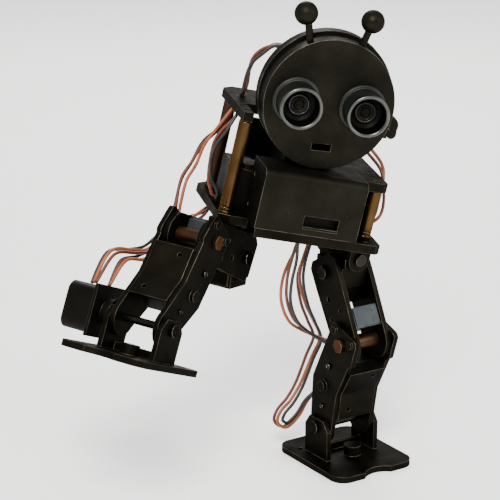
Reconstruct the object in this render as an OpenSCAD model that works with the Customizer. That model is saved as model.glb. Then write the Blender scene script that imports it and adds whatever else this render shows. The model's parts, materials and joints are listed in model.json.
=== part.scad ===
// Small walking robot: round face, plate-built torso, two jointed legs.
// Millimetres, +Z up. Origin: centre of the standing (left) foot's sole.
// The robot faces -Y at the standing foot, and its left side is +X.

/* [Feet] */
// Foot plate width
foot_w = 38; // [30:0.5:46]
// Foot plate length
foot_l = 45; // [36:0.5:54]
// Foot plate thickness
foot_t = 2.5; // [2:0.1:4]
// Ankle axis height above the sole
ankle_z = 15.2; // [12:0.1:20]
// Ankle axis distance behind the plate's middle
ankle_y = 3; // [-4:0.1:8]

/* [Legs] */
// Ankle axis to knee axis
shin_len = 40.4; // [34:0.1:50]
// Knee axis to hip pitch axis
thigh_len = 30.1; // [26:0.1:40]
// Leg plate thickness
plate_t = 2; // [1.5:0.1:3]
// Gap between the thigh plates
thigh_gap = 12.6; // [11:0.1:16]
// Joint pin diameter
pin_d = 3; // [2:0.1:4]

/* [Pose as built] */
// Left shin lean
l_ankle = 18.4; // [-10:0.1:40]
// Left knee bend
l_knee = 47; // [0:0.1:100]
// Left hip pitch
l_hip = 35; // [-30:0.1:80]
// Left hip roll
l_roll = 11; // [-15:0.1:20]
// Left hip yaw
l_yaw = 20.4; // [-40:0.1:40]
// Right hip yaw
r_yaw = -45; // [-70:0.1:10]
// Right hip roll
r_roll = -7; // [-15:0.1:20]
// Right hip pitch
r_hip = -110; // [-125:0.1:20]
// Right knee bend
r_knee = 66; // [0:0.1:110]
// Right ankle
r_ankle = 28; // [-30:0.1:30]
// Head pan
pan = -3; // [-12:0.1:18]
// Head nod
nod = 3; // [-5:0.1:8]
// Head roll
lean = -3.5; // [-6:0.1:6]

/* [Torso] */
// Left hip axis distance from the middle
hip_x = 25.6; // [20:0.1:28]
// Right hip axis distance from the middle
hip_xr = 21.5; // [18:0.1:28]
// Hip axis distance behind the middle
hip_y = 5; // [0:0.1:8]
// Bottom deck thickness
deck_t = 3.5; // [2:0.1:4]
// Front cover width
cover_w = 41.3; // [34:0.1:48]
// Front cover height
cover_h = 23.4; // [18:0.1:30]
// Shoulder deck underside height
deck_z = 40.8; // [36:0.1:48]
// Side deck underside height
side_z = 23; // [18:0.1:28]

/* [Head] */
// Face diameter
face_d = 51; // [44:0.5:60]
// Eye can outer diameter
eye_d = 16.5; // [12:0.1:20]
// Eye spacing
eye_gap = 26; // [22:0.1:32]
// Eye can protrusion
eye_out = 11.1; // [6:0.1:16]
// Antenna ball diameter
ball_d = 9; // [6:0.1:12]

/* [Hidden] */
$fn = 36;
yoke_h = 7.3;
block_h = 8;
fit = 0.05;
tin = thigh_gap / 2;
tout = tin + plate_t;
sin_ = tout + 0.2;
sout = sin_ + plate_t;
fin = sout + 0.2;
fout = fin + plate_t;
dark = [0.13, 0.12, 0.11];
grey = [0.22, 0.24, 0.27];
brass = [0.50, 0.38, 0.20];
steel = [0.62, 0.62, 0.62];

// ---- frames ----
module at_l_shin() translate([0, ankle_y, ankle_z]) rotate([l_ankle, 0, 0])
  translate([0, 0, shin_len]) children();
module at_l_thigh() at_l_shin() rotate([-l_knee, 0, 0]) translate([0, 0, thigh_len]) children();
module at_l_block() at_l_thigh() rotate([l_hip, 0, 0]) children();
module at_l_yoke() at_l_block() translate([0, 0, block_h]) rotate([0, l_roll, 0])
  translate([0, 0, yoke_h]) children();
module at_torso() at_l_yoke() rotate([0, 0, -l_yaw]) translate([-hip_x, -hip_y, 0]) children();
module at_head() at_torso() translate([0, -11.7, 53.4]) rotate([0, 0, pan]) rotate([nod, 0, 0])
  rotate([0, lean, 0]) children();
module at_r_yoke() at_torso() translate([-hip_xr, hip_y, 0]) rotate([0, 0, r_yaw]) children();
module at_r_block() at_r_yoke() translate([0, 0, -yoke_h]) rotate([0, r_roll, 0])
  translate([0, 0, -block_h]) children();
module at_r_thigh() at_r_block() rotate([r_hip, 0, 0]) children();
module at_r_shin() at_r_thigh() translate([0, 0, -thigh_len]) rotate([r_knee, 0, 0]) children();
module at_r_foot() at_r_shin() translate([0, 0, -shin_len]) rotate([r_ankle, 0, 0])
  translate([0, -ankle_y, -ankle_z]) children();

// ---- shared shapes ----
// 2D (y,z) outline pulled along X from x0 to x1
module slab(x0, x1) translate([x0, 0, 0]) rotate([90, 0, 90]) linear_extrude(x1 - x0) children();
module xcyl(d, x0, x1, y = 0, z = 0) translate([x0, y, z]) rotate([0, 90, 0]) cylinder(d = d, h = x1 - x0);
module ycyl(d, y0, y1, x = 0, z = 0) translate([x, y0, z]) rotate([-90, 0, 0]) cylinder(d = d, h = y1 - y0);
module box(x0, x1, y0, y1, z0, z1) translate([x0, y0, z0]) cube([x1 - x0, y1 - y0, z1 - z0]);
module rrect(x0, x1, y0, y1, r) {
  translate([x0 + r, y0]) square([x1 - x0 - 2 * r, y1 - y0]);
  translate([x0, y0 + r]) square([x1 - x0, y1 - y0 - 2 * r]);
  for (x = [x0 + r, x1 - r]) for (y = [y0 + r, y1 - r]) translate([x, y]) circle(r);
}

// ---- leg pieces ----
module thigh_outline() difference() {
  union() {
    translate([-8, -thigh_len]) square([16, thigh_len]);
    polygon([[-8, -thigh_len], [8, -thigh_len], [9, -6], [9, 3.5], [6.5, 6], [-6.5, 6], [-9, 3.5], [-9, -6]]);
    translate([0, -thigh_len]) circle(8);
  }
  translate([0, 0]) circle(d = pin_d);
  translate([0, -thigh_len]) circle(d = pin_d + 2 * fit);
  translate([2.5, -11]) circle(d = 2.2);
  translate([-3, -17]) circle(d = 1.8);
  translate([4.5, -19]) circle(d = 1.8);
}
module thigh_plate(s) color(dark) slab(s > 0 ? tin : -tout, s > 0 ? tout : -tin) thigh_outline();
module shin_outline() difference() {
  union() {
    rrect(-9, 8, -6, 7, 2.4);
    polygon([[-9, 3], [8, 3], [11.8, -23], [7.2, -shin_len], [-7.2, -shin_len], [-4.8, -22.2]]);
    translate([0, -shin_len]) circle(7.2);
  }
  circle(d = pin_d);
  translate([0, -shin_len]) circle(d = pin_d + 2 * fit);
}
module shin_plate(s, front = true) color(dark) {
  difference() {
    slab(s > 0 ? sin_ : -sout, s > 0 ? sout : -sin_) shin_outline();
    xcyl(2, -20, 20, -5.8, 4.2);
    xcyl(2, -20, 20, 5, 4.2);
    xcyl(2, -20, 20, 3.8, -22.6);
  }
  b = s > 0 ? sout : -sout;
  xcyl(3.4, s > 0 ? b - 1.2 : b - 1, s > 0 ? b + 1 : b + 1.2, -5.8, 4.2);
  xcyl(3.4, s > 0 ? b - 1.2 : b - 1, s > 0 ? b + 1 : b + 1.2, 5, 4.2);
  xcyl(4.4, s > 0 ? b - 1.2 : b - 1.6, s > 0 ? b + 1.6 : b + 1.2, 3.8, -22.6);
}
// micro servo: output on the z = 0 axis end, body filling between the plates
module thigh_motor() color(grey) {
  box(-tin, tin, -7.2, 6.8, -25.6, -17.2);
  box(-5.4, 5.4, -8.2, -7.2, -25, -17.8);
  for (z = [-23.6, -19.2]) ycyl(1.8, -8.8, -8.2, 3.6, z);
}
module shin_motor() color(dark) {
  box(-sin_, sin_, -1.5, 9.6, -23, -11.5);
  box(-6.1, 6.1, -3.4, 6, -31, -23);
  for (x = [-4, 4]) ycyl(2, 9.6, 10.3, x, -17);
}
module shin_panel() color(dark) difference() {
  union() {
    slab(-sin_, sin_) polygon([[-8.2, -9.6], [-1.5, -9.6], [-1.5, -11.5], [-5.6, -11.5],
      [-3.4, -21.4], [-5.6, -33], [-7.2, -33], [-5.4, -21.6]]);
  }
  ycyl(1.8, -12, 4, 3.8, -13);
  ycyl(1.8, -12, 4, -3.8, -29);
}
module knee_pin(s = 1) color(brass) {
  difference() {
    union() {
      xcyl(pin_d, -sout - 1.4, sout + 1.4);
      for (k = [-1, 1]) translate([k * (sout + 0.75), 0, 0]) rotate([0, 90, 0]) cylinder(d = 6, h = 1.5, center = true, $fn = 6);
      xcyl(6, -tin + 0.1, tin - 0.1);
    }
  }
}
module hip_pin() color(steel) {
  xcyl(pin_d, -tout - 1, tout + 1);
  for (k = [-1, 1]) translate([k * (tout + 0.8), 0, 0]) rotate([0, 90, 0]) cylinder(d = 5.4, h = 1.6, center = true);
}
module ankle_pin(s = 1) color(steel) {
  translate([0, ankle_y, ankle_z]) {
    xcyl(pin_d, -fout - 1.2, fout + 1.2);
    for (k = [-1, 1]) translate([k * (fout + 0.75), 0, 0]) rotate([0, 90, 0]) cylinder(d = 5, h = 1.5, center = true);
  }
}
module foot() color(dark) {
  difference() {
    linear_extrude(foot_t) difference() {
      rrect(-foot_w / 2, foot_w / 2, -foot_l / 2, foot_l / 2, 6);
      translate([0, -foot_l / 2 - 6.2]) circle(9);
    }
    for (x = [-14, 14]) translate([x, 12, -1]) cylinder(d = 2.4, h = 5);
  }
  for (k = [-1, 1]) difference() {
    slab(k > 0 ? fin : -fout, k > 0 ? fout : -fin)
      polygon([[-4.7, foot_t - 0.5], [10.7, foot_t - 0.5], [10.7, 14.6], [7.6, 18.8], [-1.6, 18.8], [-4.7, 14.6]]);
    xcyl(pin_d, -20, 20, ankle_y, ankle_z);
  }
  box(-fin - 0.1, fin + 0.1, 4.2, 6.2, foot_t - 0.5, 5.5);
  translate([1, -3.5, foot_t - 0.5]) cylinder(d = 7, h = 4.5);
}
// yoke frame: z = 0 is the deck underside, roll axis at z = -yoke_h
module yoke() color(dark) {
  difference() {
    union() {
      translate([0, 0, -2.6]) cylinder(d = 15, h = 2.4);
      box(-5, 5, -11.2, 11.2, -2.6, -0.3);
      for (k = [-1, 1]) {
        box(-5, 5, k > 0 ? 9.2 : -11.2, k > 0 ? 11.2 : -9.2, -yoke_h, -0.3);
        ycyl(10, k > 0 ? 9.2 : -11.2, k > 0 ? 11.2 : -9.2, 0, -yoke_h);
      }
      translate([0, 0, -1]) cylinder(d = 6, h = deck_t + 1.4);
    }
    ycyl(pin_d, -13, 13, 0, -yoke_h);
  }
}
// block frame: pitch axis at the origin, roll axis at z = block_h
module block() color(dark) difference() {
  union() {
    box(-6.1, 6.1, -8.8, 8.8, -4.6, 4.2);
    box(-6.1, 6.1, -6.4, 6, -12.4, -4.5);
    box(-5, 5, -7, -6.3, -11.6, -5.4);
    box(-5, 5, -8.8, 8.8, 4, block_h);
    ycyl(7.6, -8.8, 8.8, 0, block_h);
  }
  ycyl(pin_d + 2 * fit, -13, 13, 0, block_h);
  xcyl(pin_d + 2 * fit, -13, 13);
}
module roll_pin() color(steel) {
  ycyl(pin_d, -12.4, 12.4, 0, -yoke_h);
  for (k = [-1, 1]) translate([0, k * 11.9, -yoke_h]) rotate([90, 0, 0]) cylinder(d = 5, h = 1.3, center = true);
}
module ankle_motor() color(dark) {
  xcyl(9, -fout - 4.4, -fout - 1.6, ankle_y, ankle_z);
  difference() {
    xcyl(12, -fout - 2.2, -fout - 0.05, ankle_y, ankle_z);
    xcyl(6, -fout - 2.3, -fout, ankle_y, ankle_z);
  }
  box(-fout - 5.6, -fout - 4.3, -7, 13, 5, 25);
  difference() {
    translate([-fout - 17.6, 0, 0]) rotate([90, 0, 90]) linear_extrude(12.1) rrect(-6, 12, 6, 24, 4);
    box(-fout - 16, -fout - 6.5, -3.6, 9.6, 8.4, 21.6);
  }
}

// ---- torso pieces ----
module ring_hole(x, y, d = 2) translate([x, y, -5]) cylinder(d = d, h = 100);
module bottom_deck() color(dark) difference() {
  linear_extrude(deck_t) polygon([[-31.5, -6.3], [-27.1, -8], [-20, -8.2], [-20, -20], [29.4, -20.2],
    [31.5, -18.2], [31.5, 32], [26, 38], [-26, 38], [-31.5, 33]]);
  ring_hole(-hip_xr, hip_y, 6 + 2 * fit);
  ring_hole(hip_x, hip_y, 6 + 2 * fit);
  for (x = [-20, -10, 0, 10, 20]) translate([x - 1.2, 26, -1]) cube([2.4, 7, 10]);
  translate([26, -17.4, -1]) cylinder(d = 2.2, h = 10);
}
module shoulder_deck() color(dark) difference() {
  translate([0, 0, deck_z]) linear_extrude(3.6) polygon([[-30.6, -6.8], [-26.6, -6.8], [-26.6, 8],
    [16, 8], [18, 11], [18, 31], [14, 34.5], [-26, 34.5], [-30.6, 30]]);
  translate([0, 14, deck_z - 1]) cylinder(d = 6 + 2 * fit, h = 6);
  for (y = [-3.2, 5, 22]) translate([-29.8, y, deck_z + 1.4]) cube([3.4, 1.6, 4]);
  for (x = [-18, 8.5]) translate([x, 14, deck_z - 1]) cube([4, 12, 6]);
}
module side_deck() color(dark) difference() {
  translate([0, 0, side_z]) linear_extrude(3.6) polygon([[21.2, -13.4], [29.2, -13.4], [31, -11.6],
    [31, 30], [26, 35], [9, 35], [9, 0.5], [21.2, 0.5]]);
  for (y = [-11, -4, 3]) translate([25.6, y, side_z + 2]) cube([3.4, 1.6, 3]);
}
module front_cover() color(dark) difference() {
  translate([-cover_w / 2, 0, 0]) rotate([90, 0, 90]) linear_extrude(cover_w) difference() {
    union() {
      translate([-20.5, deck_t + 0.2]) square([19, cover_h - 3]);
      translate([-17.5, deck_t + 0.2]) square([16, cover_h]);
      translate([-17.5, deck_t + 0.2 + cover_h - 3]) circle(3);
    }
  }
  box(-cover_w / 2 + 1.8, cover_w / 2 - 1.8, -18.7, 5, -1, deck_t + cover_h - 1.8);
  box(-2, 12, -25, -17, 6.2, 11.4);
  for (z = [9, 21]) xcyl(2, -40, -18, -6, z);
}
module cover_lip() color(grey) box(-2, 12, -21, -18.8, 6.2, 7.2);
module post(x, y, z0, z1) color(brass) difference() {
  union() {
    translate([x, y, z0]) cylinder(d = 3.4, h = z1 - z0);
    translate([x, y, z0]) cylinder(d = 5.4, h = 1);
    translate([x, y, z0 + 1.6]) cylinder(d = 5, h = 0.8);
    translate([x, y, z0 + 3]) cylinder(d = 5, h = z1 - z0 - 3.6);
  }
  translate([x - 4, y, z1 - 7]) rotate([0, 90, 0]) cylinder(d = 1.2, h = 8);
}
module battery() color(grey) {
  box(-15.4, 16.8, -17.6, 24, deck_t, 15.5);
  box(-12, 12, -14, 20, 15.5, 16);
}
module control_board() color([0.10, 0.22, 0.16]) {
  box(-19, 19, 35.2, 36.8, deck_t, 33);
  box(-7, 5, 36.8, 38.2, 16, 27);
  box(9, 15, 36.8, 40, 20, 30);
  box(-17, -10, 36.8, 41, 8, 28);
}
module yaw_motor(x) color(grey) difference() {
  union() {
    box(x - 5.4, x + 5.4, hip_y - 6, hip_y + 16.8, deck_t, 20.4);
    box(x - 5.4, x + 5.4, hip_y + 16.8, hip_y + 20.4, deck_t, 6);
    translate([x, hip_y, 20.4]) cylinder(d = 10, h = 2.2);
  }
  translate([x, hip_y, 0]) cylinder(d = 6 + 2 * fit, h = deck_t + 4);
}
module neck_motor() color(grey) difference() {
  union() {
    box(-6.1, 6.1, 8.2, 31, 19.4, deck_z);
    box(-6.1, 6.1, 31, 33.6, 36, 38);
  }
  translate([0, 14, 34]) cylinder(d = 6 + 2 * fit, h = 10);
}

// ---- head pieces ----
module face() color(dark) difference() {
  union() {
    ycyl(face_d, 0, 2.4);
    difference() {
      ycyl(face_d, 2, 8);
      ycyl(face_d - 4, 1.9, 8.1);
    }
  }
  for (k = [-1, 1]) ycyl(16.4, -3, 9, k * eye_gap / 2, 0.3);
  box(-3.8, 3.8, -3, 9, -18.4, -15.6);
}
module back_shell() color(dark) {
  difference() {
    union() {
      ycyl(face_d + 1.6, 8.05, 12.6, 0, 0.6);
      translate([0, 12.6, 0.6]) rotate([-90, 0, 0]) cylinder(d1 = face_d + 1.6, d2 = face_d - 6, h = 1.6);
    }
    ycyl(face_d - 2.6, 8, 12.2, 0, 0.6);
  }
  difference() {
    union() {
      box(18, 27.6, 9.6, 12.2, -13.4, -4.2);
      ycyl(7.6, 9.6, 12.2, 27.6, -8);
      box(24, 31.2, 9.6, 12.2, -11.4, -8);
      ycyl(4, 9.6, 12.2, 29.2, -11.4);
    }
    box(26.9, 28.1, 9, 13, -9.6, -7.2);
  }
}
module sensor_board() color([0.10, 0.22, 0.16]) {
  box(-20, 20, 3.2, 4.8, -9.5, 10);
  for (k = [-1, 1]) ycyl(6, 4.8, 7.2, k * 7, 5);
  box(-5, 5, 4.8, 7.4, -8.5, -4);
}
module eye(k) color(steel) difference() {
  union() {
    ycyl(16, -eye_out, 3.2, k * eye_gap / 2, 0.3);
    ycyl(eye_d, -eye_out, -eye_out + 3, k * eye_gap / 2, 0.3);
    ycyl(18.6, -1, 0, k * eye_gap / 2, 0.3);
  }
  ycyl(12.4, -eye_out - 1, -eye_out + 2.6, k * eye_gap / 2, 0.3);
}
module antenna(k) color(dark) {
  translate([k * 13 - 1.4, 4, 33.2]) sphere(d = ball_d);
  translate([k * 9.8 - 1, 4, 22]) rotate([0, k * 15, 0]) cylinder(d = 2.8, h = 9);
}
module neck_bracket() color(dark) at_torso() difference() {
  union() {
    translate([0, 14, deck_z - 3]) cylinder(d = 6, h = 8);
    translate([0, 14, deck_z + 3.8]) cylinder(d = 15, h = 2.6);
    box(-7, 7, 4.6, 14, deck_z + 3.8, deck_z + 6.4);
    box(-7, 7, 4.6, 7, deck_z + 3.8, 62);
    for (z = [51, 59]) ycyl(6, 0.5, 6, 0, z);
  }
  ring_hole(0, 14, 2);
}

// ---- cords: round tubes swept along hand-placed points ----
function v_(a) = a / norm(a);
function cat(p, i, t) = let (n = len(p), a = p[max(i - 1, 0)], b = p[i], c = p[i + 1], d = p[min(i + 2, n - 1)])
  0.5 * (2 * b + (c - a) * t + (2 * a - 5 * b + 4 * c - d) * t * t + (3 * b - a - 3 * c + d) * t * t * t);
function path(p, k) = concat([for (i = [0:len(p) - 2]) for (j = [0:k - 1]) cat(p, i, j / k)], [p[len(p) - 1]]);
function tan_(q, i) = v_(q[min(i + 1, len(q) - 1)] - q[max(i - 1, 0)]);
function nrm(q, i) = i == 0
  ? let (t = tan_(q, 0), a = abs(t[2]) < 0.8 ? [0, 0, 1] : [1, 0, 0]) v_(a - (a * t) * t)
  : let (t = tan_(q, i), n = nrm(q, i - 1)) v_(n - (n * t) * t);
module cord(p, d, k = 4, s = 8) {
  q = path(p, k);
  n = len(q);
  pts = [for (i = [0:n - 1]) let (t = tan_(q, i), u = nrm(q, i), w = cross(t, u))
    for (j = [0:s - 1]) q[i] + d / 2 * (cos(360 * j / s) * u + sin(360 * j / s) * w)];
  polyhedron(pts, concat([[for (j = [0:s - 1]) j]],
    [for (i = [0:n - 2]) for (j = [0:s - 1]) [i * s + j, (i + 1) * s + j, (i + 1) * s + (j + 1) % s, i * s + (j + 1) % s]],
    [[for (j = [s - 1:-1:0]) (n - 1) * s + j]]), convexity = 6);
}
rust = [0.45, 0.17, 0.08];
route_a = [[-13, 4.5, 68], [-19, 13, 67.5], [-24, 19, 60], [-25, 20, 50], [-25, 20, 44.6]];
route_b = [[-28.5, 15, 40.4], [-33.5, 14.5, 31], [-37.5, 15.5, 24], [-40, 15, 16], [-43, 13.5, 9], [-44, 10, 0],
  [-44, 8, -7], [-47, 4, -12.5], [-51, -1, -17], [-57, -5, -19.5], [-65, -9.5, -20], [-69.9, -15.9, -28.9]];
route_c = [[-28.6, 8, 40.4], [-32.5, 7, 33], [-34.6, 8.5, 26], [-34.8, 9.5, 19], [-33.6, 9.5, 12], [-30.6, 9, 7],
  [-29.4, 9, 4.9]];
route_d = [[-27, 24, -0.3], [-27, 24, -3], [-30, 22.5, -6], [-35, 19, -8.5], [-41, 13, -11], [-47.5, 8, -14],
  [-54, 2, -17.5], [-61, -3, -17.5], [-70.5, -9.5, -17.5], [-76.3, -17.7, -27.6]];
route_e = [[20, 9, 39.5], [26, 7, 35], [33, 4.5, 28.5], [34.2, 2, 20], [32.6, -2.8, 12], [29, -4, 7],
  [28, -4, 3.9]];
route_f = [[2.6, -4, -0.3], [3.4, -4, -4], [4, -2, -11.4], [4.6, 1, -21.1], [7.1, 4, -31.1],
  [12.5, 7, -39.7], [19, 10.5, -44.5], [26, 11.5, -47.5], [32, 9, -48.5], [35.2, 5.2, -48.3]];
route_g = [[14, 12, -0.3], [14, 12, -4], [12.5, 11, -16.5], [13.3, 11, -24.6], [18.3, 13, -34.6],
  [24.5, 17, -42.7], [30, 20, -50.6], [28.7, 20, -59.5], [26.3, 18, -70.6], [23.2, 16, -77.8],
  [19.6, 14, -82.4], [18.9, 13, -86.6], [23.1, 14, -88.6], [27.6, 16, -84.2], [30.6, 18, -77.9],
  [34, 18, -72.9], [37, 13, -68.4], [38.5, 7.5, -65]];

at_torso() bottom_deck();
at_torso() shoulder_deck();
at_torso() side_deck();
at_torso() front_cover();
at_torso() cover_lip();
at_torso() post(-28.5, -4, deck_t, deck_z);  // standoff_lf
at_torso() post(-26.5, 30, deck_t, deck_z);  // standoff_lr
at_torso() post(27.5, -9, deck_t, side_z);  // standoff_rf
at_torso() post(24, 32, deck_t, side_z);  // standoff_rr
at_torso() post(12.6, 12, side_z + 3.6, deck_z);  // standoff_s1
at_torso() post(12.6, 30, side_z + 3.6, deck_z);  // standoff_s2
at_torso() battery();
at_torso() control_board();
at_torso() yaw_motor(hip_x);  // yaw_servo_l
at_torso() yaw_motor(-hip_xr);  // yaw_servo_r
at_torso() neck_motor();  // neck_servo
neck_bracket();
at_head() face();
at_head() back_shell();
at_head() sensor_board();
at_head() eye(1);  // eye_l
at_head() eye(-1);  // eye_r
at_head() antenna(1);  // antenna_l
at_head() antenna(-1);  // antenna_r
at_l_yoke() yoke();  // l_yoke
at_l_block() block();  // l_block
at_l_yoke() roll_pin();  // l_roll_pin
at_l_thigh() hip_pin();  // l_hip_pin
at_l_thigh() thigh_plate(-1);  // l_thigh_in
at_l_thigh() thigh_plate(1);  // l_thigh_out
at_l_thigh() thigh_motor();  // l_thigh_servo
at_l_shin() knee_pin();  // l_knee_pin
at_l_shin() shin_plate(-1);  // l_shin_in
at_l_shin() shin_plate(1);  // l_shin_out
at_l_shin() shin_motor();  // l_shin_servo
at_l_shin() shin_panel();  // l_cover
foot();  // l_foot
ankle_pin();  // l_ankle_pin
at_r_yoke() yoke();  // r_yoke
at_r_block() block();  // r_block
at_r_yoke() roll_pin();  // r_roll_pin
at_r_thigh() hip_pin();  // r_hip_pin
at_r_thigh() thigh_plate(1);  // r_thigh_in
at_r_thigh() thigh_plate(-1);  // r_thigh_out
at_r_thigh() thigh_motor();  // r_thigh_servo
at_r_shin() knee_pin();  // r_knee_pin
at_r_shin() shin_plate(1);  // r_shin_in
at_r_shin() shin_plate(-1);  // r_shin_out
at_r_shin() shin_motor();  // r_shin_servo
at_r_shin() shin_panel();  // r_cover
at_r_foot() foot();  // r_foot
at_r_foot() ankle_pin();  // r_ankle_pin
at_r_foot() ankle_motor();  // ankle_servo
color(rust) at_torso() cord(route_a, 3.2);  // cable_a
color(rust) at_torso() cord(route_b, 3.2);  // cable_b
color(rust) at_torso() cord(route_c, 2.6);  // cable_c
color(rust) at_torso() cord(route_d, 3.2);  // cable_d
color(rust) at_torso() cord(route_e, 3.2);  // cable_e
color(rust) at_torso() cord(route_f, 3.2);  // cable_f
color(rust) at_torso() cord(route_g, 3.2);  // cable_g
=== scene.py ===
"""Looks of a small plate-built walking robot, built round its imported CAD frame, in metres."""
import json
import math

import bmesh
import bpy
from mathutils import Matrix, Vector


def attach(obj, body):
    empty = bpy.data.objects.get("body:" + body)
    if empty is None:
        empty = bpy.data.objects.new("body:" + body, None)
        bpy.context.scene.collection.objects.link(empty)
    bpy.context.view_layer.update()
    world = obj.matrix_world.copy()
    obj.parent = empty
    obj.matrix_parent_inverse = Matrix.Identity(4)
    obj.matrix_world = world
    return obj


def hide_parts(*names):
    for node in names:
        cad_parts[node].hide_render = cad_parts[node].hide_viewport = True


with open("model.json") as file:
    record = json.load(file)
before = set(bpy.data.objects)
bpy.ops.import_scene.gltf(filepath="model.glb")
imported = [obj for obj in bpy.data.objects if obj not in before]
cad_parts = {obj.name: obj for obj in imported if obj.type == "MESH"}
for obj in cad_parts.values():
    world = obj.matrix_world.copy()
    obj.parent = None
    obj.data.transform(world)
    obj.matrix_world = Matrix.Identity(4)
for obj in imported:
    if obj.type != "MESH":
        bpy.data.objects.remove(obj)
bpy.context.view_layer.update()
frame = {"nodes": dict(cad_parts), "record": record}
MM = 0.001
NODES = frame["nodes"]
RECORD = frame["record"]
SLOT = {s["node"]: s["material_slot"] for s in RECORD["subparts"]}


# ---- the frames of the CAD's bodies at rest ----
def shift(x, y, z):
    return Matrix.Translation(Vector((x, y, z)) * MM)


def turn(angle, axis):
    return Matrix.Rotation(math.radians(angle), 4, axis)


L_ANKLE = shift(0, 3, 15.2)
L_SHIN = L_ANKLE @ turn(18.4, "X") @ shift(0, 0, 40.4)
L_THIGH = L_SHIN @ turn(-47, "X") @ shift(0, 0, 30.1)
L_BLOCK = L_THIGH @ turn(35, "X")
L_YOKE = L_BLOCK @ shift(0, 0, 8) @ turn(11, "Y") @ shift(0, 0, 7.3)
TORSO = L_YOKE @ turn(-20.4, "Z") @ shift(-25.6, -5, 0)
HEAD = TORSO @ shift(0, -11.7, 53.4) @ turn(-3, "Z") @ turn(3, "X") @ turn(-3.5, "Y")
R_YOKE = TORSO @ shift(-21.5, 5, 0) @ turn(-45, "Z")
R_BLOCK = R_YOKE @ shift(0, 0, -7.3) @ turn(-7, "Y") @ shift(0, 0, -8)
R_THIGH = R_BLOCK @ turn(-110, "X")
R_SHIN = R_THIGH @ shift(0, 0, -30.1) @ turn(66, "X")

# ---- camera ----
cam_data = bpy.data.cameras.new("camera")
cam = bpy.data.objects.new("camera", cam_data)
bpy.context.scene.collection.objects.link(cam)
cam_data.sensor_width = 36
cam_data.lens = 142.5
cam_right = Vector((0.8359, -0.5488, 0.001))
cam_up = Vector((0.1626, 0.2493, 0.9547))
cam_back = cam_right.cross(cam_up).normalized()
cam.matrix_world = Matrix.Translation((-0.4448, -0.6057, 0.3228)) @ Matrix(
    (cam_right, cam_back.cross(cam_right), cam_back)).transposed().to_4x4()
bpy.context.scene.camera = cam


# ---- materials ----
def nodes_of(name):
    mat = bpy.data.materials.new(name)
    mat.use_nodes = True
    tree = mat.node_tree
    return mat, tree, tree.nodes["Principled BSDF"]


def add(tree, kind, **values):
    node = tree.nodes.new(kind)
    for key, value in values.items():
        if hasattr(node, key):
            setattr(node, key, value)
        else:
            node.inputs[key.replace("_", " ")].default_value = value
    return node


def noise(tree, coord, scale, detail=4.0):
    node = add(tree, "ShaderNodeTexNoise")
    node.inputs["Scale"].default_value = scale
    node.inputs["Detail"].default_value = detail
    tree.links.new(coord, node.inputs["Vector"])
    return node.outputs["Fac"]


def remap(tree, value, a, b, lo, hi):
    node = add(tree, "ShaderNodeMapRange")
    for key, v in (("From Min", a), ("From Max", b), ("To Min", lo), ("To Max", hi)):
        node.inputs[key].default_value = v
    tree.links.new(value, node.inputs["Value"])
    return node.outputs[0]


def maths(tree, op, a, b):
    node = add(tree, "ShaderNodeMath", operation=op)
    for i, v in enumerate((a, b)):
        if isinstance(v, (int, float)):
            node.inputs[i].default_value = v
        else:
            tree.links.new(v, node.inputs[i])
    return node.outputs[0]


def blend_colour(tree, fac, a, b):
    node = add(tree, "ShaderNodeMix", data_type="RGBA")
    tree.links.new(fac, node.inputs["Factor"])
    for i, v in ((6, a), (7, b)):
        if isinstance(v, tuple):
            node.inputs[i].default_value = (*v, 1)
        else:
            tree.links.new(v, node.inputs[i])
    return node.outputs[2]


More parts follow.
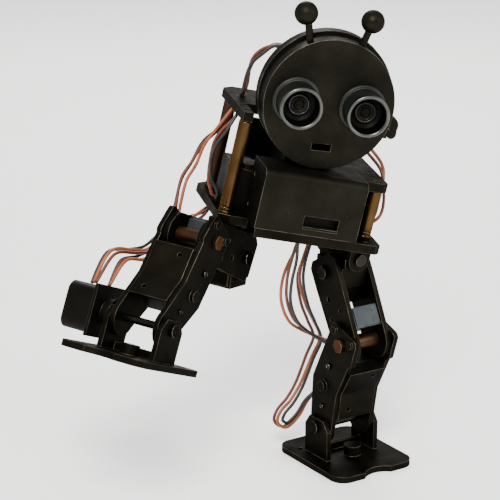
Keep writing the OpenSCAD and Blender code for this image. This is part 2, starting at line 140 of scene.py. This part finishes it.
def worn_and_edge_lit(name, base, tint, edge_wear_and_highlight, rough=0.42, metal=0.5, wear_and_highlight=0.8, bump=0.05, grain=900, edge_width=0.35,
         shine=0.32, graze=(0.30, 0.27, 0.22)):
    """A handled surface: mottled colour, edges painted lighter for rubbed wear and for a painted
    highlight, fine grain and uneven polish.
    """
    mat, tree, bsdf = nodes_of(name)
    link = tree.links.new
    coord = add(tree, "ShaderNodeTexCoord").outputs["Object"]
    mottle = remap(tree, noise(tree, coord, 75, 6), 0.35, 0.68, 0, 1)
    fine = noise(tree, coord, grain, 3)
    colour = blend_colour(tree, mottle, base, tint)
    bevel = add(tree, "ShaderNodeBevel", samples=8)
    bevel.inputs["Radius"].default_value = edge_width * MM
    geometry = add(tree, "ShaderNodeNewGeometry")
    dot = add(tree, "ShaderNodeVectorMath", operation="DOT_PRODUCT")
    link(bevel.outputs[0], dot.inputs[0])
    link(geometry.outputs["Normal"], dot.inputs[1])
    # the bevel normal finds the edges, which take the edge colour: rubbed wear together with a painted
    # highlight
    rubbed_and_lit_edges = remap(tree, dot.outputs["Value"], 0.995, 0.86, 0, 1)
    patchy = remap(tree, noise(tree, coord, 190, 5), 0.36, 0.62, 0.25, 1)
    wear_and_highlight_mask = maths(tree, "MULTIPLY", maths(tree, "MULTIPLY", rubbed_and_lit_edges, patchy), wear_and_highlight)
    specks = remap(tree, noise(tree, coord, 1500, 2), 0.71, 0.80, 0, 0.16)
    wear_and_highlight_mask = maths(tree, "MAXIMUM", wear_and_highlight_mask, specks)
    # base colour blended to the edge colour: a painted highlight along the edges as well as rubbed wear
    # and specks
    link(blend_colour(tree, wear_and_highlight_mask, colour, edge_wear_and_highlight), bsdf.inputs["Base Color"])
    polish = remap(tree, noise(tree, coord, 130, 5), 0.3, 0.7, rough - 0.08, rough + 0.14)
    link(maths(tree, "SUBTRACT", polish, maths(tree, "MULTIPLY", wear_and_highlight_mask, 0.12)), bsdf.inputs["Roughness"])
    bsdf.inputs["Metallic"].default_value = metal
    bsdf.inputs["Specular IOR Level"].default_value = shine
    bsdf.inputs["Specular Tint"].default_value = (*graze, 1)
    bumper = add(tree, "ShaderNodeBump")
    bumper.inputs["Strength"].default_value = bump * 4
    bumper.inputs["Distance"].default_value = 0.0002
    link(fine, bumper.inputs["Height"])
    link(bevel.outputs[0], bumper.inputs["Normal"])
    link(bumper.outputs[0], bsdf.inputs["Normal"])
    return mat


# each edge colour below is rubbed wear and also a painted highlight along that material's edges
DARK = worn_and_edge_lit("dark_metal", (0.0036, 0.0033, 0.0022), (0.0082, 0.0074, 0.0050), (0.130, 0.113, 0.082),
            rough=0.46, metal=0.85)
SHELL = worn_and_edge_lit("dark_shell", (0.0062, 0.0058, 0.0042), (0.0110, 0.0102, 0.0074), (0.21, 0.195, 0.155),
             rough=0.44, metal=0.8, wear_and_highlight=0.9, grain=1400, edge_width=0.3)
SERVO = worn_and_edge_lit("servo_case", (0.022, 0.026, 0.029), (0.038, 0.044, 0.048), (0.13, 0.145, 0.155), rough=0.4,
             metal=0.5)
SERVO_DARK = worn_and_edge_lit("servo_dark", (0.0036, 0.0033, 0.0026), (0.0070, 0.0064, 0.0050), (0.08, 0.070, 0.055),
                  rough=0.40, metal=0.7)
BRASS = worn_and_edge_lit("old_brass", (0.042, 0.023, 0.008), (0.080, 0.046, 0.017), (0.26, 0.18, 0.085), rough=0.32,
             metal=0.95, wear_and_highlight=0.7, grain=1100, graze=(0.5, 0.4, 0.25))
BRONZE = worn_and_edge_lit("old_bronze", (0.030, 0.016, 0.009), (0.056, 0.030, 0.017), (0.20, 0.13, 0.08), rough=0.34,
              metal=0.9)
BOLT = worn_and_edge_lit("bolt_steel", (0.008, 0.0075, 0.0065), (0.020, 0.0185, 0.0160), (0.24, 0.22, 0.19),
            rough=0.24, metal=0.95)
# the ring's bright edge colour paints the highlights on its inner and outer rims
RING = worn_and_edge_lit("eye_ring", (0.050, 0.051, 0.048), (0.085, 0.085, 0.080), (0.62, 0.62, 0.60), rough=0.26,
            metal=1.0, wear_and_highlight=0.8, graze=(0.9, 0.9, 0.9))
BARREL = worn_and_edge_lit("eye_barrel", (0.017, 0.0185, 0.0165), (0.028, 0.030, 0.027), (0.09, 0.09, 0.085),
              rough=0.46, metal=0.8)
INNER = worn_and_edge_lit("eye_inner", (0.0014, 0.0016, 0.0014), (0.0025, 0.0028, 0.0025), (0.01, 0.01, 0.01),
             rough=0.45, metal=0.6)
DISH = worn_and_edge_lit("eye_dish", (0.012, 0.014, 0.013), (0.026, 0.029, 0.027), (0.14, 0.15, 0.14), rough=0.28,
            metal=0.8)
BOARD = worn_and_edge_lit("circuit_board", (0.0025, 0.0045, 0.0034), (0.004, 0.007, 0.0052), (0.03, 0.04, 0.03),
             rough=0.5, metal=0.4)
BATTERY = worn_and_edge_lit("battery_wrap", (0.0030, 0.0031, 0.0032), (0.0052, 0.0054, 0.0056), (0.03, 0.03, 0.03),
               rough=0.45, metal=0.6)


def wire_material(name, base, tint):
    mat, tree, bsdf = nodes_of(name)
    coord = add(tree, "ShaderNodeTexCoord").outputs["Object"]
    patch = remap(tree, noise(tree, coord, 210, 5), 0.3, 0.7, 0, 1)
    tree.links.new(blend_colour(tree, patch, base, tint), bsdf.inputs["Base Color"])
    tree.links.new(remap(tree, noise(tree, coord, 320, 3), 0.3, 0.7, 0.32, 0.55), bsdf.inputs["Roughness"])
    bsdf.inputs["Specular IOR Level"].default_value = 0.3
    bumper = add(tree, "ShaderNodeBump")
    bumper.inputs["Strength"].default_value = 0.25
    bumper.inputs["Distance"].default_value = 0.0001
    tree.links.new(noise(tree, coord, 1500, 2), bumper.inputs["Height"])
    tree.links.new(bumper.outputs[0], bsdf.inputs["Normal"])
    return mat


RUST = wire_material("WIRE_Rust", (0.175, 0.044, 0.014), (0.26, 0.074, 0.024))
BROWN = wire_material("wire_brown", (0.062, 0.016, 0.008), (0.105, 0.028, 0.013))
BLACK = wire_material("wire_black", (0.008, 0.008, 0.008), (0.016, 0.015, 0.015))

BY_SLOT = {"deck_metal": DARK, "shell": SHELL, "servo_case": SERVO, "servo_dark": SERVO_DARK,
           "old_brass": BRASS, "bolt_steel": BOLT, "eye_can": RING, "circuit": BOARD,
           "battery_cells": BATTERY, "cable_rust": RUST, "cable_dark": BROWN}


# ---- mesh helpers ----
def piece(name, mesh, body, slot, *replaced, smooth=35):
    obj = bpy.data.objects.new(name, mesh)
    bpy.context.scene.collection.objects.link(obj)
    if smooth:
        mesh.shade_smooth()
        mesh.set_sharp_from_angle(angle=math.radians(smooth))
    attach(obj, body)
    if replaced:
        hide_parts(*replaced)
    return obj


def lathe(name, profile, at, mats, body, slot, *replaced, segments=72, smooth=35):
    """Turns (radius, y) points in mm, with a material index each, about the frame's Y axis."""
    bm = bmesh.new()
    rings = []
    for r, y, _ in profile:
        if r < 1e-6:
            rings.append([bm.verts.new(at @ (Vector((0, y, 0)) * MM))])
            continue
        rings.append([bm.verts.new(at @ (Vector((r * math.cos(a), y, r * math.sin(a))) * MM))
                      for a in (2 * math.pi * i / segments for i in range(segments))])
    for k in range(len(rings) - 1):
        a, b = rings[k], rings[k + 1]
        for i in range(segments):
            j = (i + 1) % segments
            if len(a) == 1:
                f = bm.faces.new((a[0], b[j], b[i]))
            elif len(b) == 1:
                f = bm.faces.new((a[i], a[j], b[0]))
            else:
                f = bm.faces.new((a[i], a[j], b[j], b[i]))
            f.material_index = profile[k + 1][2]
    bmesh.ops.recalc_face_normals(bm, faces=bm.faces)
    mesh = bpy.data.meshes.new(name)
    bm.to_mesh(mesh)
    bm.free()
    for m in mats:
        mesh.materials.append(m)
    return piece(name, mesh, body, slot, *replaced, smooth=smooth)


# ---- cords: flat ribbons of three wires ----
WIRE_R = 0.66        # mm
WIRE_GAP = 1.92      # wire spacing at the ends, in wire radii
TWIST = 40.0         # degrees that the ribbon rolls either way
SIDES = 10


def spline(points, k):
    out = []
    n = len(points)
    for i in range(n - 1):
        a, b, c, d = (points[max(i - 1, 0)], points[i], points[i + 1], points[min(i + 2, n - 1)])
        for j in range(k):
            t = j / k
            out.append(0.5 * (2 * b + (c - a) * t + (2 * a - 5 * b + 4 * c - d) * t * t
                              + (3 * b - a - 3 * c + d) * t * t * t))
    return out + [points[-1]]


def ribbon(name, route, node, slot, wires=(0, 1, 2)):
    """Three wires side by side along the CAD cable's route, drifting a little apart between its ends."""
    pts = spline([TORSO @ (Vector(p) * MM) for p in route], 8)
    n = len(pts)
    bm = bmesh.new()
    side = None
    frames = []
    for i in range(n):
        t = (pts[min(i + 1, n - 1)] - pts[max(i - 1, 0)]).normalized()
        if side is None:
            ref = Vector((0, 0, 1)) if abs(t.z) < 0.8 else Vector((1, 0, 0))
            side = t.cross(ref).normalized()
        side = (side - t * side.dot(t)).normalized()
        roll = math.radians(TWIST * math.sin(5.0 * i / n + len(name)))
        s = (Matrix.Rotation(roll, 3, t) @ side).normalized()
        frames.append((pts[i], t, s, t.cross(s).normalized()))
    for w, m in enumerate(wires):
        rings = []
        for i, (p, t, s, u) in enumerate(frames):
            along = i / (n - 1)
            loose = min(1.0, 6 * along, 6 * (1 - along))
            drift = 0.75 * loose * (1 + 0.6 * math.sin(7 * along + w))
            off = (w - (len(wires) - 1) / 2) * (WIRE_R * WIRE_GAP + drift)
            lift = 0.8 * loose * math.sin(9 * along + 2.1 * w + len(route))
            c = p + (s * off + u * lift) * MM
            rings.append([bm.verts.new(c + (s * math.cos(a) + u * math.sin(a)) * WIRE_R * MM)
                          for a in (2 * math.pi * q / SIDES for q in range(SIDES))])
        for k in range(n - 1):
            for q in range(SIDES):
                f = bm.faces.new((rings[k][q], rings[k][(q + 1) % SIDES],
                                  rings[k + 1][(q + 1) % SIDES], rings[k + 1][q]))
                f.material_index = m
        for ring in (rings[0][::-1], rings[-1]):
            bm.faces.new(ring).material_index = m
    mesh = bpy.data.meshes.new(name)
    bm.to_mesh(mesh)
    bm.free()
    for m in (RUST, BROWN, BLACK):
        mesh.materials.append(m)
    obj = piece(name, mesh, "torso", slot, node, smooth=0)
    mesh.shade_smooth()
    return obj


ROUTES = {
    "cable_a": [
        (-13, 4.5, 68), (-19, 13, 67.5), (-24, 19, 60), (-25, 20, 50), (-25, 20, 44.6)],
    "cable_b": [
        (-28.5, 15, 40.4), (-33.5, 14.5, 31), (-37.5, 15.5, 24), (-40, 15, 16), (-43, 13.5, 9),
        (-44, 10, 0), (-44, 8, -7), (-47, 4, -12.5), (-51, -1, -17), (-57, -5, -19.5),
        (-65, -9.5, -20), (-69.9, -15.9, -28.9)],
    "cable_c": [
        (-28.6, 8, 40.4), (-32.5, 7, 33), (-34.6, 8.5, 26), (-34.8, 9.5, 19), (-33.6, 9.5, 12),
        (-30.6, 9, 7), (-29.4, 9, 4.9)],
    "cable_d": [
        (-27, 24, -0.3), (-27, 24, -3), (-30, 22.5, -6), (-35, 19, -8.5), (-41, 13, -11),
        (-47.5, 8, -14), (-54, 2, -17.5), (-61, -3, -17.5), (-70.5, -9.5, -17.5), (-76.3, -17.7, -27.6)],
    "cable_e": [
        (20, 9, 39.5), (26, 7, 35), (33, 4.5, 28.5), (34.2, 2, 20), (32.6, -2.8, 12), (29, -4, 7),
        (28, -4, 3.9)],
    "cable_f": [
        (2.6, -4, -0.3), (3.4, -4, -4), (4, -2, -11.4), (4.6, 1, -21.1), (7.1, 4, -31.1),
        (12.5, 7, -39.7), (19, 10.5, -44.5), (26, 11.5, -47.5), (32, 9, -48.5), (35.2, 5.2, -48.3)],
    "cable_g": [
        (14, 12, -0.3), (14, 12, -4), (12.5, 11, -16.5), (13.3, 11, -24.6), (18.3, 13, -34.6),
        (24.5, 17, -42.7), (30, 20, -50.6), (28.7, 20, -59.5), (26.3, 18, -70.6), (23.2, 16, -77.8),
        (19.6, 14, -82.4), (18.9, 13, -86.6), (23.1, 14, -88.6), (27.6, 16, -84.2), (30.6, 18, -77.9),
        (34, 18, -72.9), (37, 13, -68.4), (38.5, 7.5, -65)],
}
ORDER = {"cable_a": (2, 1, 0), "cable_b": (0, 1, 2), "cable_c": (2, 1), "cable_d": (2, 0, 1),
         "cable_e": (1, 0, 1), "cable_f": (0, 1, 2), "cable_g": (1, 0, 2)}
for cable, route in ROUTES.items():
    ribbon("ribbon" + cable[5:], route, cable, SLOT[cable], wires=ORDER[cable])

# ---- the CAD's own pieces: a look for each slot, and a few by name ----
KEEP_OFF = {"eye_l", "eye_r"} | set(ROUTES)
for node, source in NODES.items():
    if node in KEEP_OFF:
        continue
    look = BY_SLOT[SLOT[node]]
    if "knee_pin" in node:
        look = BRONZE
    if node == "cover_lip":
        look = SHELL
    if node in ("standoff_lr", "standoff_rr"):
        look = BRONZE
    if node in ("yaw_servo_l", "yaw_servo_r", "neck_servo"):
        look = SERVO_DARK
    source.data.materials.clear()
    source.data.materials.append(look)
    for s in source.material_slots:
        s.link = "OBJECT"
        s.material = look

# ---- eyes: (radius, y) outlines in mm, turned about each eye's own axis ----
EYE_BARREL = [
    (8.0, 3.0, 0), (8.0, 0.0, 0), (9.3, 0.0, 0), (9.3, -0.7, 0), (8.9, -1.1, 0), (8.2, -1.2, 0),
    (8.05, -1.8, 0), (8.0, -9.6, 0), (7.6, -9.9, 0)]
EYE_RING = [
    (7.6, -9.3, 0), (8.15, -9.4, 0), (8.28, -9.8, 0), (8.28, -10.7, 0), (8.1, -11.0, 0),
    (7.8, -11.15, 0), (7.35, -11.1, 0), (6.95, -10.8, 0), (6.8, -10.4, 0), (6.75, -9.6, 0)]
EYE_WELL = [(6.78, -10.3, 0), (6.6, -9.0, 0), (6.2, -5.6, 0), (5.0, -4.6, 0), (3.9, -4.4, 0)]
EYE_DISH = [
    (4.4, -4.3, 0), (4.2, -5.0, 0), (3.9, -5.5, 0), (3.6, -5.5, 0), (3.35, -5.1, 0),
    (3.2, -4.5, 0), (2.9, -4.6, 1), (2.7, -5.0, 1), (2.45, -5.1, 1), (2.2, -4.9, 1), (1.9, -4.2, 1),
    (1.0, -3.8, 1), (0.0, -3.7, 1)]
EYE_X = 13
for side, eye in ((1, "eye_l"), (-1, "eye_r")):
    at = HEAD @ shift(side * EYE_X, 0, 0.3)
    lathe(eye + "_barrel", EYE_BARREL, at, [BARREL], "head", "eye_can", eye)
    lathe(eye + "_ring", EYE_RING, at, [RING], "head", "eye_can")
    lathe(eye + "_well", EYE_WELL, at, [INNER], "head", "eye_can")
    lathe(eye + "_dish", EYE_DISH, at, [DISH, SERVO_DARK], "head", "eye_can")


# ---- cap screws with round socket recesses ----
def cap_screw(name, at, d, body, slot="bolt_steel"):
    """Head on the frame's -Y side, its seat at y = 0."""
    r = d / 2
    lathe(name, [(0.0, 0.2, 0), (r, 0.2, 0), (r, -0.35 * d, 0), (r - 0.25, -0.42 * d, 0),
                 (r * 0.52, -0.42 * d, 0), (r * 0.48, -0.16 * d, 0), (0.0, -0.14 * d, 0)],
          at, [BOLT], body, slot, segments=24)


OUT = {1: turn(90, "Z"), -1: turn(-90, "Z")}
SHIN_FACE = 10.5
for tag, shin, side in (("l", L_SHIN, -1), ("l", L_SHIN, 1), ("r", R_SHIN, 1), ("r", R_SHIN, -1)):
    for k, (y, z, d) in enumerate(((3.4, -12.5, 2.6), (1.6, -31.5, 2.2))):
        seat = shin @ shift(side * SHIN_FACE, y, z) @ OUT[side]
        cap_screw(f"{tag}_shin_screw_{side + 1}{k}", seat, d, tag + "_shin")

# ---- floor and light ----
floor_mesh = bpy.data.meshes.new("floor")
floor_mesh.from_pydata([(-6, -6, 0), (6, -6, 0), (6, 6, 0), (-6, 6, 0)], [], [(0, 1, 2, 3)])
floor = bpy.data.objects.new("floor", floor_mesh)
bpy.context.scene.collection.objects.link(floor)
pale, pale_tree, pale_bsdf = nodes_of("pale_floor")
pale_bsdf.inputs["Base Color"].default_value = (0.95, 0.95, 0.95, 1)
pale_bsdf.inputs["Roughness"].default_value = 0.9
floor_mesh.materials.append(pale)

world = bpy.data.worlds.new("studio")
bpy.context.scene.world = world
world.use_nodes = True
sky = world.node_tree
sky.nodes["Background"].inputs["Color"].default_value = (1, 1, 1, 1)
sky.nodes["Background"].inputs["Strength"].default_value = 1.3


def area(name, place, target, size, power, colour=(1, 1, 1)):
    data = bpy.data.lights.new(name, "AREA")
    data.energy = power
    data.size = size
    data.color = colour
    lamp = bpy.data.objects.new(name, data)
    bpy.context.scene.collection.objects.link(lamp)
    lamp.location = place
    lamp.rotation_euler = (Vector(target) - Vector(place)).to_track_quat("-Z", "Y").to_euler()


area("key", (-0.55, -0.65, 0.95), (-0.02, 0, 0.1), 0.40, 24, (1, 0.96, 0.90))
area("fill", (0.6, -0.9, 0.5), (0, 0, 0.1), 0.6, 7, (0.96, 0.98, 1))
area("rim", (0.4, 0.7, 0.7), (0, 0, 0.12), 0.5, 8, (1, 0.98, 0.95))
